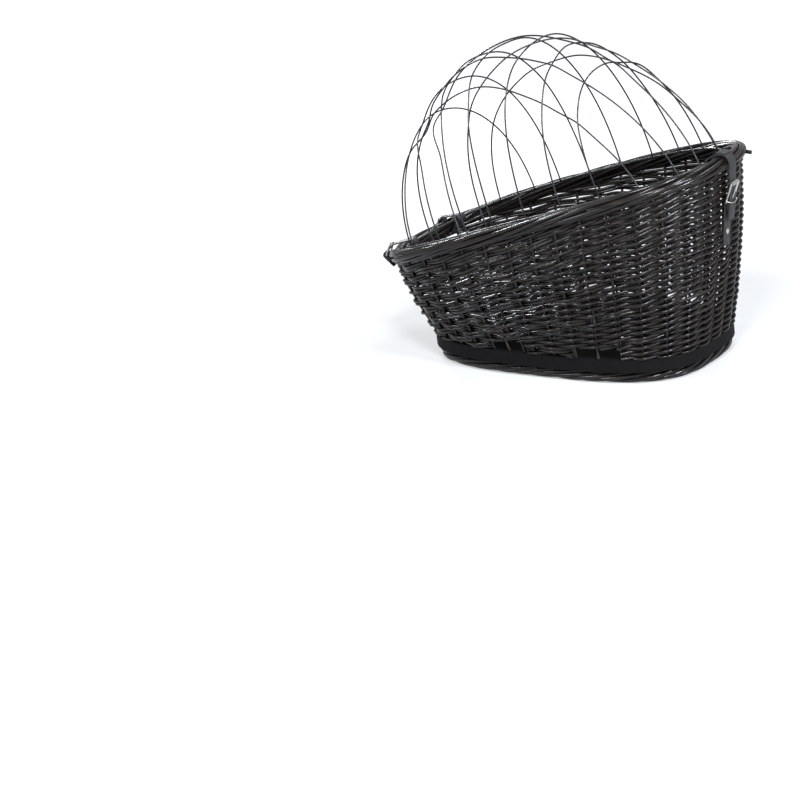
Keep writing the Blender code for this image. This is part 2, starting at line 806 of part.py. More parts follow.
def front_closures(leather, metal, parts):
    heel, top = front_bars()
    for side, label in ((-1, "near"), (1, "far")):
        y = side * FRONT_STRAP_SPACING / 2
        band = strap(front_strap_line(), STRAP_WIDTH, y)
        for slot in prong_slots(heel, top, FRONT_BUCKLE_WIRE, 1, y):
            boolean(band, slot)
        band = apply_modifiers(band)
        frame = buckle_frame(heel, top, STRAP_WIDTH + 2 * LEATHER_PLAY, FRONT_BUCKLE_WIRE, y)
        pin = prong(heel, top, FRONT_BUCKLE_WIRE / 2, FRONT_BUCKLE_WIRE / 2, 1, y)
        turn = front_turn(side)
        for piece in (band, frame, pin):
            piece.matrix_basis = turn @ piece.matrix_basis
        parts[f"front_strap_{label}"] = finish(band, f"front_strap_{label}", leather)
        parts[f"front_buckle_{label}"] = finish(frame, f"front_buckle_{label}", metal)
        origin = turn @ Vector((heel[0], y, heel[1]))
        parts[f"front_prong_{label}"] = finish(pin, f"front_prong_{label}", metal, origin)


def prong_slots(heel, top, wire_size, side, y):
    """Cutters for the slot in a strap's fold and for the longer hole ahead of it that the prong passes through."""
    away = Vector((top[0] - heel[0], top[1] - heel[1]))
    half = PRONG_WIRE / 2 + 2 * GAP
    round_bar = wire_size / 2 + GAP + STRAP_THICKNESS + GAP / 2
    fold = rod_cutter((heel[0], y - half, heel[1]), (heel[0], y + half, heel[1]), round_bar)
    depth = round_bar + STRAP_THICKNESS + GAP
    hole = box_cutter((0, -half, min(0, side * depth)), (away.length * PRONG_HOLE_SHARE, half, max(0, side * depth)))
    hole.rotation_euler = (0, -math.atan2(away.y, away.x), 0)
    hole.location = (heel[0], y, heel[1])
    return fold, hole


# Rear closure

def rear_wall(height):
    """The outer face of the wall at the rear end, at a height."""
    low, high = BOARD_TOP + GAP, wall_top(RIM_LENGTH / 2)
    share = (height - low) / (high - low)
    low_x = board_plan(0.0, WALL_THICKNESS / 2)[0]
    middle = low_x + (RIM_LENGTH / 2 - low_x) * share + WALL_BELLY * math.sin(math.pi * share)
    return middle + WALL_THICKNESS / 2


def rear_over():
    """Distance of the closing strap's middle from the middle of the heel bar that it passes over."""
    return REAR_BUCKLE_WIRE / 2 + GAP + STRAP_THICKNESS + GAP + STRAP_THICKNESS / 2


def rear_bars():
    """Heel bar and roller bar of the rear buckle, as (x, z): the roller rests on the closing strap."""
    half = STRAP_THICKNESS / 2
    stand = REAR_STRAP_STAND + STRAP_THICKNESS + REAR_BUCKLE_WIRE
    heel = Vector((rear_wall(REAR_HEEL_HEIGHT) + stand, REAR_HEEL_HEIGHT))
    top = Vector((RIM_LENGTH / 2 + RIM_RADIUS + LEATHER_PLAY + half, rim_height(RIM_LENGTH / 2)))
    along = (top - heel - Vector((rear_over(), 0))).normalized()
    outward = Vector((along.y, -along.x))
    lift = rear_over() + half + LEATHER_PLAY + REAR_ROLLER_RADIUS
    return heel, heel + outward * lift + along * math.sqrt(REAR_BUCKLE_PITCH**2 - lift**2)


def rear_strap_line():
    """The riveted strap: up the wall, round the heel bar and back down."""
    heel, _ = rear_bars()
    half = STRAP_THICKNESS / 2
    fold = REAR_BUCKLE_WIRE / 2 + GAP + half
    lift = REAR_STRAP_STAND + half
    foot = (rear_wall(REAR_STRAP_END_HEIGHT) + lift, REAR_STRAP_END_HEIGHT)
    rivet = Vector((rear_wall(REAR_RIVET_HEIGHT) + lift, REAR_RIVET_HEIGHT))
    upward = (Vector(heel) - rivet).normalized()
    back = Vector(heel) - upward * CHAPE_RETURN + Vector((upward.y, -upward.x)) * (fold - half)
    return belt([(*foot, 0, 0), (*rivet, 0, 0), (*heel, fold, -1), (*back, 0, 0)])


def rear_tongue_line():
    """The closing strap: from its stitched end, round the ring, over the rim, through the buckle and down."""
    heel, _ = rear_bars()
    half = STRAP_THICKNESS / 2
    rim = (RIM_LENGTH / 2, rim_height(RIM_LENGTH / 2))
    hold = RIM_RADIUS + LEATHER_PLAY + half
    ring = (RING_REAR_HALF, ring_height(RING_REAR_HALF), RING_WIRE / 2 + LEATHER_PLAY + half)
    upper = hold + STRAP_THICKNESS + LEATHER_PLAY
    start = polar(rim, TONGUE_END_TURN, upper + GAP)
    lift = REAR_STRAP_STAND + half + 2 * STRAP_THICKNESS + REAR_TAIL_STAND
    end = (rear_wall(REAR_TAIL_END_HEIGHT) + lift, REAR_TAIL_END_HEIGHT)
    return belt(
        [
            (*start, 0, 0),
            (*rim, upper, 1),
            (*ring, 1),
            (*rim, hold, -1),
            (*heel, rear_over(), -1),
            (*end, 0, 0),
        ]
    )


def rivet_axis():
    x = rear_wall(REAR_RIVET_HEIGHT)
    return x, REAR_RIVET_HEIGHT


def rivet_hole():
    x, z = rivet_axis()
    start = (x - WALL_THICKNESS - CUT_OVERRUN, 0, z)
    return rod_cutter(start, (x + CUT_OVERRUN, 0, z), RIVET_SHANK_RADIUS + GAP)


def rear_rivet(metal):
    """The rivet through strap and wall, with a round head outside and a burr washer inside."""
    x, z = rivet_axis()
    lean = rear_wall(z + STRAP_WIDTH) - rear_wall(z - STRAP_WIDTH)
    sag = RIVET_HEAD_RADIUS * abs(lean) / (2 * STRAP_WIDTH)
    outer = REAR_STRAP_STAND + STRAP_THICKNESS + GAP + sag
    inner = -WALL_THICKNESS - GAP - sag
    head, shank = RIVET_HEAD_RADIUS, RIVET_SHANK_RADIUS
    profile = [
        (0.0, outer + RIVET_HEAD_HEIGHT),
        (head / 2, outer + RIVET_HEAD_HEIGHT * 0.85),
        (head, outer),
        (shank, outer),
        (shank, inner),
        (head, inner),
        (head, inner - RIVET_HEAD_HEIGHT),
        (0.0, inner - RIVET_HEAD_HEIGHT),
    ]
    rivet = turned(profile, (x, 0, z))
    rivet.rotation_euler = (0, math.pi / 2, 0)
    return finish(as_mesh(rivet), "rear_rivet", metal)


def rear_closure(leather, metal, parts):
    heel, top = rear_bars()
    band = strap(rear_strap_line(), REAR_STRAP_WIDTH, 0.0)
    for slot in prong_slots(heel, top, REAR_BUCKLE_WIRE, -1, 0.0):
        boolean(band, slot)
    boolean(band, rivet_hole())
    parts["rear_strap"] = finish(apply_modifiers(band), "rear_strap", leather)
    tongue = strap(rear_tongue_line(), REAR_STRAP_WIDTH, 0.0)
    for slot in prong_slots(heel, top, REAR_BUCKLE_WIRE, -1, 0.0):
        boolean(tongue, slot)
    parts["rear_tongue"] = finish(apply_modifiers(tongue), "rear_tongue", leather, dome_axis())
    inner_width = REAR_STRAP_WIDTH + 6 * LEATHER_PLAY
    frame = buckle_frame(heel, top, inner_width, REAR_BUCKLE_WIRE, 0.0)
    parts["rear_buckle"] = finish(frame, "rear_buckle", metal)
    pin = prong(heel, top, REAR_ROLLER_RADIUS, REAR_BUCKLE_WIRE / 2, -1, 0.0)
    parts["rear_prong"] = finish(pin, "rear_prong", metal, (heel[0], 0, heel[1]))
    parts["rear_roller"] = rear_roller(top, inner_width, metal)
    parts["rear_rivet"] = rear_rivet(metal)


def rear_roller(top, inner_width, metal):
    half = inner_width / 2 - BUCKLE_CORNER
    bore = REAR_BUCKLE_WIRE / 2 + GAP
    profile = [(REAR_ROLLER_RADIUS, half), (REAR_ROLLER_RADIUS, -half), (bore, -half), (bore, half)]
    roller = turned(profile, (top[0], 0, top[1]))
    roller.rotation_euler = (math.pi / 2, 0, 0)
    return finish(as_mesh(roller), "rear_roller", metal, (top[0], 0, top[1]))


# Clamp set

def clamp_levels():
    """Heights of the clamp stack from the board down: plate top, plate bottom, washer bottom and nut bottom."""
    plate_top = BOARD_BOTTOM - CLAMP_ROD_GAP
    plate_bottom = plate_top - CLAMP_THICKNESS
    washer_bottom = plate_bottom - GAP - WASHER_THICKNESS
    return plate_top, plate_bottom, washer_bottom, washer_bottom - GAP - NUT_HEIGHT


def bolt_places():
    places = []
    for end in (-1, 1):
        for side in (-1, 1):
            places.append((BOARD_SHIFT + end * CLAMP_SPACING / 2, side * BOLT_SPACING / 2))
    return places


def clamp_plates(metal, parts):
    top, bottom, _, _ = clamp_levels()
    half_x, half_y, corner = CLAMP_WIDTH / 2, CLAMP_LENGTH / 2, CLAMP_CORNER
    outline = []
    for sx, sy, start in ((1, 1, 0), (-1, 1, 90), (-1, -1, 180), (1, -1, 270)):
        middle = (sx * (half_x - corner), sy * (half_y - corner))
        outline += [polar(middle, start + turn, corner) for turn in (0, 30, 60, 90)]
    for end, label in ((-1, "front"), (1, "rear")):
        x = BOARD_SHIFT + end * CLAMP_SPACING / 2
        plate = flat_plate(outline, CLAMP_THICKNESS)
        plate.location = (x, 0, (top + bottom) / 2)
        plate = as_mesh(plate)
        for side in (-1, 1):
            y = side * BOLT_SPACING / 2
            ends = (x, y, bottom - CUT_OVERRUN), (x, y, top + CUT_OVERRUN)
            cutter = rod_cutter(*ends, BOLT_RADIUS + GAP)
            boolean(plate, cutter)
        name = f"clamp_plate_{label}"
        parts[name] = finish(apply_modifiers(plate), name, metal)


def bolts_and_nuts(metal, parts):
    _, plate_bottom, washer_bottom, nut_bottom = clamp_levels()
    shank_end = BOLT_FLOOR_GAP
    head_base = BOARD_TOP + GAP
    for number, (x, y) in enumerate(bolt_places(), start=1):
        bolt = turned(
            [
                (0.0, head_base + BOLT_HEAD_HEIGHT),
                (BOLT_HEAD_RADIUS * 0.5, head_base + BOLT_HEAD_HEIGHT * 0.87),
                (BOLT_HEAD_RADIUS * 0.87, head_base + BOLT_HEAD_HEIGHT * 0.5),
                (BOLT_HEAD_RADIUS, head_base),
                (BOLT_RADIUS, head_base),
                (BOLT_RADIUS, shank_end),
                (0.0, shank_end),
            ],
            (x, y, 0),
        )
        parts[f"carriage_bolt_{number}"] = finish(as_mesh(bolt), f"carriage_bolt_{number}", metal)
        washer = turned(
            [
                (WASHER_RADIUS, plate_bottom - GAP),
                (WASHER_RADIUS, washer_bottom),
                (BOLT_RADIUS + GAP, washer_bottom),
                (BOLT_RADIUS + GAP, plate_bottom - GAP),
            ],
            (x, y, 0),
        )
        parts[f"washer_{number}"] = finish(as_mesh(washer), f"washer_{number}", metal)
        name = f"wing_nut_{number}"
        parts[name] = finish(wing_nut(x, y, nut_bottom), name, metal, (x, y, nut_bottom))


def wing_nut(x, y, bottom):
    """A hub with two flat wings, bored for the bolt."""
    top = bottom + NUT_HEIGHT
    hub = rod((x, y, bottom), (x, y, top), NUT_HUB_RADIUS)
    half = NUT_WING_THICKNESS / 2
    low = (x - NUT_SPAN / 2, y - half, bottom)
    wings = box_cutter(low, (x + NUT_SPAN / 2, y + half, top - NUT_HEIGHT / 4))
    bevel = wings.modifiers.new("rounding", "BEVEL")
    bevel.width = NUT_WING_THICKNESS / 3
    bevel.segments = 2
    boolean(hub, wings, "UNION")
    bore = rod_cutter((x, y, bottom - CUT_OVERRUN), (x, y, top + CUT_OVERRUN), BOLT_RADIUS + GAP)
    boolean(hub, bore)
    return apply_modifiers(hub)


# Assembly

def holder(name, place, parent=None):
    empty = bpy.data.objects.new(name, None)
    empty.empty_display_size = RIM_RADIUS
    COLLECTION.objects.link(empty)
    empty.location = place
    bpy.context.view_layer.update()
    if parent is not None:
        attach(empty, parent)
    return empty


def attach(child, parent):
    bpy.context.view_layer.update()
    child.parent = parent
    child.matrix_parent_inverse = parent.matrix_world.inverted()


def bounds():
    """Lowest and highest corners of all pieces."""
    bpy.context.view_layer.update()
    graph = bpy.context.evaluated_depsgraph_get()
    corners = []
    for obj in COLLECTION.objects:
        if obj.type == "EMPTY":
            continue
        evaluated = obj.evaluated_get(graph)
        mesh = evaluated.to_mesh()
        points = np.empty(len(mesh.vertices) * 3, np.float32)
        mesh.vertices.foreach_get("co", points)
        world = np.array(evaluated.matrix_world)
        points = points.reshape(-1, 3) @ world[:3, :3].T + world[:3, 3]
        corners += [points.min(axis=0), points.max(axis=0)]
        evaluated.to_mesh_clear()
    return np.min(corners, axis=0), np.max(corners, axis=0)


def main():
    clear_scene()
    make_collections()
    willow, board, coated = dyed_willow(), painted_board(), coated_wire()
    leather, nickel, zinc = black_leather(), nickel_steel(), zinc_steel()
    parts = {
        "base_board": base_board(board),
        "foot_border": foot_border(willow),
        "wicker_wall": wicker_wall(willow),
        "rim_border": rim_border(willow),
    }
    front_closures(leather, nickel, parts)
    rear_closure(leather, nickel, parts)
    clamp_plates(zinc, parts)
    bolts_and_nuts(zinc, parts)
    dome = {"dome_ring": dome_ring(coated)}
    dome.update({hoop.name: hoop for hoop in dome_hoops(coated)})
    dome["rear_tongue"] = parts.pop("rear_tongue")
    root = holder("basket_root", (0, 0, 0))
    hinge = holder("dome_hinge", dome_axis(), root)
    for piece in parts.values():
        attach(piece, root)
    for piece in dome.values():
        attach(piece, hinge)
    low, high = bounds()
    root.location = (-(low[0] + high[0]) / 2, -(low[1] + high[1]) / 2, -low[2])
    bpy.context.view_layer.update()
    low, high = bounds()
    print("size", [round(float(value), 4) for value in high - low])
    for name in ("dome_ring", "front_prong_near", "front_prong_far", "rear_prong", "rear_roller"):
        place = bpy.data.objects[name].matrix_world.translation
        print("axis of", name, [round(value, 5) for value in place])
    for number in range(1, len(bolt_places()) + 1):
        place = bpy.data.objects[f"wing_nut_{number}"].matrix_world.translation
        print("axis of wing nut", number, [round(value, 5) for value in place])


if __name__ == "__main__":
    main()
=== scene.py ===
"""A dyed willow dog basket for a bicycle, with a wire dome, leather straps and a clamp set."""

import math
import random

import bpy
import numpy as np
from bpy.props import FloatProperty, FloatVectorProperty, IntProperty, PointerProperty
from mathutils import Matrix, Vector


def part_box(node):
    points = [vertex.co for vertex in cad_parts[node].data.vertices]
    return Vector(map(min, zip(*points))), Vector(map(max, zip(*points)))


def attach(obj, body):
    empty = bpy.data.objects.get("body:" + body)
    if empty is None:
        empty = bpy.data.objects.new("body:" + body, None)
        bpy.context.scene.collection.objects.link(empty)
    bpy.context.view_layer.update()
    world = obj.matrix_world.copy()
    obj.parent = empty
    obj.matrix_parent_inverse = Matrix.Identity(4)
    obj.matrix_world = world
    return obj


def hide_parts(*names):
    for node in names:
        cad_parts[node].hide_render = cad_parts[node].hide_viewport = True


bl_info = {
    "name": "Willow Dog Basket",
    "version": (1, 0, 0),
    "blender": (4, 5, 0),
    "location": "View3D > Sidebar > Dog Basket",
    "description": "Weaves and finishes a willow dog basket with a wire dome on a measured frame",
    "category": "Object",
}

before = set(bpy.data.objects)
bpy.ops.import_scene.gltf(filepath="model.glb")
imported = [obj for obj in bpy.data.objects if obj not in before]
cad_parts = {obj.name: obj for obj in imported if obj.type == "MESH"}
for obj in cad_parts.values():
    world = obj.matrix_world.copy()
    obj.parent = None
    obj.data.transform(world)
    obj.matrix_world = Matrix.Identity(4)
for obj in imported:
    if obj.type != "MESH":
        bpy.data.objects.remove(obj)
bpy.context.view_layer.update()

# Plans and heights of the basket, as the frame has them
RIM_LOW, RIM_HIGH = (Vector(corner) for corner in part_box("rim_border"))
BOARD_LOW, BOARD_HIGH = (Vector(corner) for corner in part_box("base_board"))
FOOT_LOW, FOOT_HIGH = (Vector(corner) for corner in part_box("foot_border"))
RIM_RADIUS = 0.0125
RIM_MIDDLE_X = (RIM_LOW.x + RIM_HIGH.x) / 2
RIM_HALF_LENGTH = (RIM_HIGH.x - RIM_LOW.x) / 2 - RIM_RADIUS
RIM_HALF_WIDTH = (RIM_HIGH.y - RIM_LOW.y) / 2 - RIM_RADIUS
# Powers of the rim's oval in front and at the rear, its heights there and its bow between them
RIM_POWERS = (2.9, 2.55)
RIM_HEIGHTS = (0.152, 0.307)
RIM_BOW = 0.005
BOARD_MIDDLE_X = (BOARD_LOW.x + BOARD_HIGH.x) / 2
BOARD_HALF_LENGTH = (BOARD_HIGH.x - BOARD_LOW.x) / 2
BOARD_HALF_WIDTH = (BOARD_HIGH.y - BOARD_LOW.y) / 2
BOARD_POWER = 3.1
BOARD_TOP_SKIN = 0.0002
FOOT_MIDDLE_INSET = 0.011

# Wall: it stands just clear of the board, bellies outward and ends inside the rim
WALL_THICKNESS = 0.007
WALL_BELLY = 0.005
WALL_FOOT_GAP = 0.0003
WALL_END_BELOW_RIM = RIM_RADIUS * 0.55
OPENINGS = ((-0.0637, -0.0137), (0.0768, 0.1453))
OPENING_TOP = 0.052
OPENING_SIDE_SHARE = 0.8
# Slots under the rim, through which the front straps pass
STRAP_Y = 0.070
SLOT_REAR_X = -0.2
SLOT_HALF_WIDTH = 0.0105
SLOT_DEPTH = 0.0145
# Angle over which the wall's direction is taken, samples of its length, and halvings that find
# an angle
TANGENT_STEP = 0.02
RUN_SAMPLES = 2881
HALVINGS = 40

# Woven rods: where rods are added as the wall rises, and over how many rows each fades in
WEAVE_SEED = 7
SAMPLES_PER_STAKE = 8
RANK_STRIDE = 13
FADE_ROWS = 1.5
SHARE_LOW, SHARE_HIGH = 0.003, 0.998
# How far each rod differs from the next in height (in rows), size and swing
LIFT = 0.07
SIZE_LOW, SIZE_HIGH = 0.90, 1.10
SWING_POWER = 1.5
SWAY = 0.12
SWAY_RATE = 1.7
# How the rods are packed tighter in the upper part of the wall, by shares of its height
PACKED_FROM = 0.68
PACKED_RUN = 0.22
PACKED_SWING = 0.28
PACKED_SWELL = 0.10
# The least of a faded rod that is kept, its size there, and the fewest points of a line
LEAST_WEIGHT = 0.08
LEAST_SIZE = 0.45
LEAST_POINTS = 4

# Stakes, and the short ones at the openings, of which the middle one has lighter tones
STAKE_POINTS = 14
SHORT_STAKE_POINTS = 7
SHORT_STAKE_SHARE = 0.35
SHORT_STAKE_SIZE = 0.85
OPENING_SIDE_GAP = 0.001
PALE_STAKE_FACTOR = 4.5

# Borders: reach of the rods and radius of the core, and how the rods sway and swell. A rod sways
# three times or a few more on its way round
RIM_SEEDS = (3, 4)
RIM_REACH = RIM_RADIUS * 0.90
RIM_CORE = RIM_RADIUS * 0.48
RIM_STEPS = (220, 160)
FOOT_SEEDS = (5, 6)
FOOT_ROD = 0.0032
FOOT_ROD_SIZE = 0.98
FOOT_FLOOR_GAP = FOOT_ROD * 1.12
FOOT_REACH = 0.0080
FOOT_CORE = 0.0040
FOOT_STEPS = (200, 120)
ROPE_SIZES = (0.86, 1.08)
ROPE_SWAY = 0.25
ROPE_SWAYS = 3
ROPE_SWAY_KINDS = 4
ROPE_SWELL = 0.08
ROPE_SWELL_RATE = 31
ROPE_SWELL_SHIFT = 2.1
# Loose rod ends: from and to what angle each lies along the rim, its turn round the rim, its free
# length and how far that turns outward
LOOSE_ENDS = (
    (-102, -126, 0.10, 0.036, 0.0),
    (-107, -130, 0.70, 0.030, 0.0),
    (-111, -133, 1.30, 0.024, 0.0),
    (-62, -30, 0.25, 0.012, 0.0),
    (48, 24, -0.20, 0.011, 0.8),
)
LOOSE_END_SIZE = 0.9
LOOSE_END_REACH = RIM_RADIUS * 0.86
LOOSE_END_POINTS = 12
LOOSE_END_SHARES = (0.35, 0.7, 1.0)
ANGLE_STEP = 0.01

# Wires, straps and buckle
MERGE_DISTANCE = 0.00001
QUAD_THRESHOLD = 0.7
RING_SWELL = 0.0001
HOOP_SWELL = 0.0002
WIRE_SUBDIVISIONS = 2
STRAPS = (
    ("front_strap_near", "basket"),
    ("front_strap_far", "basket"),
    ("rear_strap", "basket"),
    ("rear_tongue", "dome"),
)
STRAP_EDGE = 0.00045
STRAP_EDGE_SEGMENTS = 2
STRAP_EDGE_ANGLE = math.radians(50)
STRAP_SMOOTH_ANGLE = math.radians(40)
# Lower side of the rear buckle, bent over the strap's outer face
BUCKLE_BAR = (
    (0.2764, -0.0121, 0.2525), (0.2800, -0.0116, 0.2514), (0.2820, -0.0098, 0.2502),
    (0.2824, -0.0050, 0.2488), (0.2824, 0.0, 0.2480), (0.2824, 0.0050, 0.2488),
    (0.2820, 0.0098, 0.2502), (0.2800, 0.0116, 0.2514), (0.2764, 0.0121, 0.2525),
)
BUCKLE_BAR_RADIUS = 0.0008

# Round rods: 6 or 8 sides
COARSE, FINE = 1, 2

# Grain of the materials, in waves per metre: willow bark along and across a rod, how much finer its
# fibres are and what divides its dark and light tones' sum, then leather, plywood and dipped wire
BARK_ALONG = 14.0
BARK_ACROSS = 3000.0 / 14.0
BARK_FIBRES = 5
BARK_MIDDLE = 2.6
LEATHER_WEAR = (55.0, 55.0, 55.0)
LEATHER_PEBBLES = (1300.0, 1300.0, 1300.0)
WOOD_GRAIN = (6.0, 170.0, 420.0)
WIRE_DIPS = (160.0, 160.0, 160.0)

# Stage
FLOOR_SIZE = 24.0
FLOOR_HEIGHT = -0.0002
FLOOR_GREY = 0.42
FLOOR_GLOW = (0.46, 0.94)
FLOOR_GLOW_DISTANCES = (0.4, 2.6)
MIRRORED_SHARE = 0.35
SEEN_GREY = 0.95
SKY_COLOUR = (0.93, 0.96, 1.0)
SKY_STRENGTH = 0.16
LIGHTS_AIM = Vector((0, 0, 0.2))
# Name, place, size, power and colour of each lamp
LIGHTS = (
    ("key", (0.75, -1.30, 1.8), 0.4, 34.0, (0.93, 0.96, 1.0)),
    ("side", (1.7, -0.6, 1.2), 0.4, 44.0, (0.82, 0.88, 1.0)),
    ("fill", (-1.1, -1.3, 1.5), 0.5, 17.0, (0.86, 0.92, 1.0)),
    ("edge", (-1.4, 1.1, 0.8), 0.4, 16.0, (0.93, 0.96, 1.0)),
    ("back", (0.2, 0.9, 1.8), 0.5, 10.0, (0.93, 0.96, 1.0)),
)
CAMERA_SENSOR = 36.0
CAMERA_LENS = 133.4
CAMERA_SHIFT = (-0.0366, -0.0871)
CAMERA_PLACE = (2.28302, -3.59658, 1.44235)
CAMERA_TURN = (
    (0.829938, -0.084511, 0.551417),
    (0.546947, 0.317787, -0.774506),
    (-0.109779, 0.944388, 0.309966),
)


# Sizes and colours that a user would change

class BasketWeave(bpy.types.PropertyGroup):
    stakes: IntProperty(
        name="Stakes", description="Upright rods round the wall", default=36, min=12, max=80)
    row_pitch: FloatProperty(
        name="Row pitch", description="Height from one woven rod to the next", default=0.0049,
        unit="LENGTH")
    rod_radius: FloatProperty(
        name="Rod radius", description="Radius of a woven rod", default=0.0024, unit="LENGTH")
    stake_radius: FloatProperty(
        name="Stake radius", description="Radius of an upright rod", default=0.0022, unit="LENGTH")
    swing: FloatProperty(
        name="Swing", description="How far a rod passes in front of and behind a stake",
        default=0.0042, unit="LENGTH")
    border_rods: IntProperty(
        name="Border rods", description="Rods laid round the rim", default=7, min=3, max=20)
    border_rod_radius: FloatProperty(
        name="Border rod radius", description="Radius of a rod of the rim", default=0.0034,
        unit="LENGTH")
    border_turns: IntProperty(
        name="Border turns", description="Turns of the rim's rods on the way round", default=3,
        min=1, max=20)
    foot_rods: IntProperty(
        name="Foot rods", description="Rods of the border under the board", default=6, min=3)
    foot_turns: IntProperty(
        name="Foot turns", description="Turns of the foot border's rods on the way round",
        default=5, min=1)


class BasketColours(bpy.types.PropertyGroup):
    willow_dark: FloatVectorProperty(
        name="Willow, dark", description="Dyed bark in the hollows", subtype="COLOR", size=3,
        default=(0.004, 0.0035, 0.003), min=0.0, max=1.0)
    willow_light: FloatVectorProperty(
        name="Willow, light", description="Dyed bark where the colour has worn", subtype="COLOR",
        size=3, default=(0.031, 0.0235, 0.0195), min=0.0, max=1.0)
    board: FloatVectorProperty(
        name="Board", description="Paint on the base board", subtype="COLOR", size=3,
        default=(0.0080, 0.0077, 0.0078), min=0.0, max=1.0)
    wire: FloatVectorProperty(
        name="Wire coat", description="Coat on the wires of the dome", subtype="COLOR", size=3,
        default=(0.012, 0.012, 0.012), min=0.0, max=1.0)
    leather: FloatVectorProperty(
        name="Leather", description="Dyed leather of the straps", subtype="COLOR", size=3,
        default=(0.036, 0.035, 0.036), min=0.0, max=1.0)
    nickel: FloatVectorProperty(
        name="Nickel", description="Plated buckles and rivet", subtype="COLOR", size=3,
        default=(0.75, 0.73, 0.68), min=0.0, max=1.0)
    zinc: FloatVectorProperty(
        name="Zinc", description="Plated clamp set", subtype="COLOR", size=3,
        default=(0.55, 0.56, 0.58), min=0.0, max=1.0)


# Materials

def new_material(name):
    material = bpy.data.materials.new(name)
    material.use_nodes = True
    return material, material.node_tree, material.node_tree.nodes["Principled BSDF"]


def grain(tree, scale, detail, roughness=0.55, distortion=0.0):
    """A noise on Object coordinates, stretched by a scale for each direction."""
    place = tree.nodes.new("ShaderNodeTexCoord")
    mapping = tree.nodes.new("ShaderNodeMapping")
    mapping.inputs["Scale"].default_value = scale
    noise = tree.nodes.new("ShaderNodeTexNoise")
    noise.inputs["Scale"].default_value = 1.0
    noise.inputs["Detail"].default_value = detail
    noise.inputs["Roughness"].default_value = roughness
    noise.inputs["Distortion"].default_value = distortion
    tree.links.new(place.outputs["Object"], mapping.inputs["Vector"])
    tree.links.new(mapping.outputs["Vector"], noise.inputs["Vector"])
    return noise.outputs["Fac"]


def colour_ramp(tree, value, stops):
    ramp = tree.nodes.new("ShaderNodeValToRGB")
    while len(ramp.color_ramp.elements) < len(stops):
        ramp.color_ramp.elements.new(0.5)
    for element, (position, colour) in zip(ramp.color_ramp.elements, stops):
        element.position = position
        element.color = (*colour, 1.0)
    tree.links.new(value, ramp.inputs["Fac"])
    return ramp.outputs["Color"]


def spread(tree, value, low, high, start=0.3, end=0.7):
    """Maps a value, by default a noise, to a range."""
    node = tree.nodes.new("ShaderNodeMapRange")
    node.inputs["From Min"].default_value = start
    node.inputs["From Max"].default_value = end
    node.inputs["To Min"].default_value = low
    node.inputs["To Max"].default_value = high
    tree.links.new(value, node.inputs["Value"])
    return node.outputs["Result"]


def calculate(tree, operation, first, second):
    """A Math node on an output and on another output or a number."""
    node = tree.nodes.new("ShaderNodeMath")
    node.operation = operation
    tree.links.new(first, node.inputs[0])
    if isinstance(second, float):
        node.inputs[1].default_value = second
    else:
        tree.links.new(second, node.inputs[1])
    return node.outputs["Value"]


def mix_colour(tree, share, first, second):
    """The first colour, an output, turned into the second one, a constant, by a share."""
    node = tree.nodes.new("ShaderNodeMix")
    node.data_type = "RGBA"
    colours = [socket for socket in node.inputs if socket.type == "RGBA"]
    tree.links.new(share, node.inputs[0])
    tree.links.new(first, colours[0])
    colours[1].default_value = (*second, 1.0)
    return next(socket for socket in node.outputs if socket.type == "RGBA")


def bump(tree, shader, value, strength, distance):
    node = tree.nodes.new("ShaderNodeBump")
    node.inputs["Strength"].default_value = strength
    node.inputs["Distance"].default_value = distance
    tree.links.new(value, node.inputs["Height"])
    tree.links.new(node.outputs["Normal"], shader.inputs["Normal"])


def shade_of(colour, factor):
    """A colour made darker or lighter."""
    return tuple(min(1.0, channel * factor) for channel in colour)


def willow_material(name, along, worn=1.0):
    """Dyed willow bark with grain along some axes and a soft sheen; its dark and light tones are
    multiplied by a given factor.
    """
    colours = bpy.context.scene.basket_colours
    material, tree, shader = new_material(name)
    dark, light = shade_of(colours.willow_dark, worn), shade_of(colours.willow_light, worn)
    scale = tuple(BARK_ALONG if index in along else BARK_ACROSS for index in range(3))
    tone = grain(tree, scale, detail=3.0, roughness=0.6)
    middle = tuple((low + high) / BARK_MIDDLE for low, high in zip(dark, light))
    colour = colour_ramp(tree, tone, ((0.32, dark), (0.55, middle), (0.74, light)))
    tree.links.new(colour, shader.inputs["Base Color"])
    fine = grain(tree, tuple(value * BARK_FIBRES for value in scale), detail=2.0, roughness=0.6)
    tree.links.new(spread(tree, fine, low=0.14, high=0.29), shader.inputs["Roughness"])
    bump(tree, shader, fine, strength=0.16, distance=0.0003)
    shader.inputs["Specular IOR Level"].default_value = 0.40
    return material


def leather_material():
    """Dyed strap leather: a fine pebbled grain with lighter, rubbed places."""
    colours = bpy.context.scene.basket_colours
    material, tree, shader = new_material("strap_leather")
    base = tuple(colours.leather)
    worn = grain(tree, LEATHER_WEAR, detail=4.0)
    stops = ((0.35, shade_of(base, 0.75)), (0.6, base), (0.8, shade_of(base, 1.6)))
    colour = colour_ramp(tree, worn, stops)
    tree.links.new(colour, shader.inputs["Base Color"])
    pebble = grain(tree, LEATHER_PEBBLES, detail=2.0, roughness=0.5)
    tree.links.new(spread(tree, worn, low=0.40, high=0.58), shader.inputs["Roughness"])
    shader.inputs["Specular IOR Level"].default_value = 0.35
    bump(tree, shader, pebble, strength=0.4, distance=0.0003)
    return material


def plated_material(name, colour, low, high, speckle):
    """Plated steel with faint handling marks, which vary its roughness from low to high."""
    material, tree, shader = new_material(name)
    shader.inputs["Metallic"].default_value = 1.0
    marks = grain(tree, (speckle, speckle, speckle), detail=4.0, roughness=0.65)
    tone = colour_ramp(tree, marks, ((0.3, shade_of(colour, 0.86)), (0.7, colour)))
    tree.links.new(tone, shader.inputs["Base Color"])
    tree.links.new(spread(tree, marks, low, high), shader.inputs["Roughness"])
    bump(tree, shader, marks, strength=0.08, distance=0.0002)
    return material


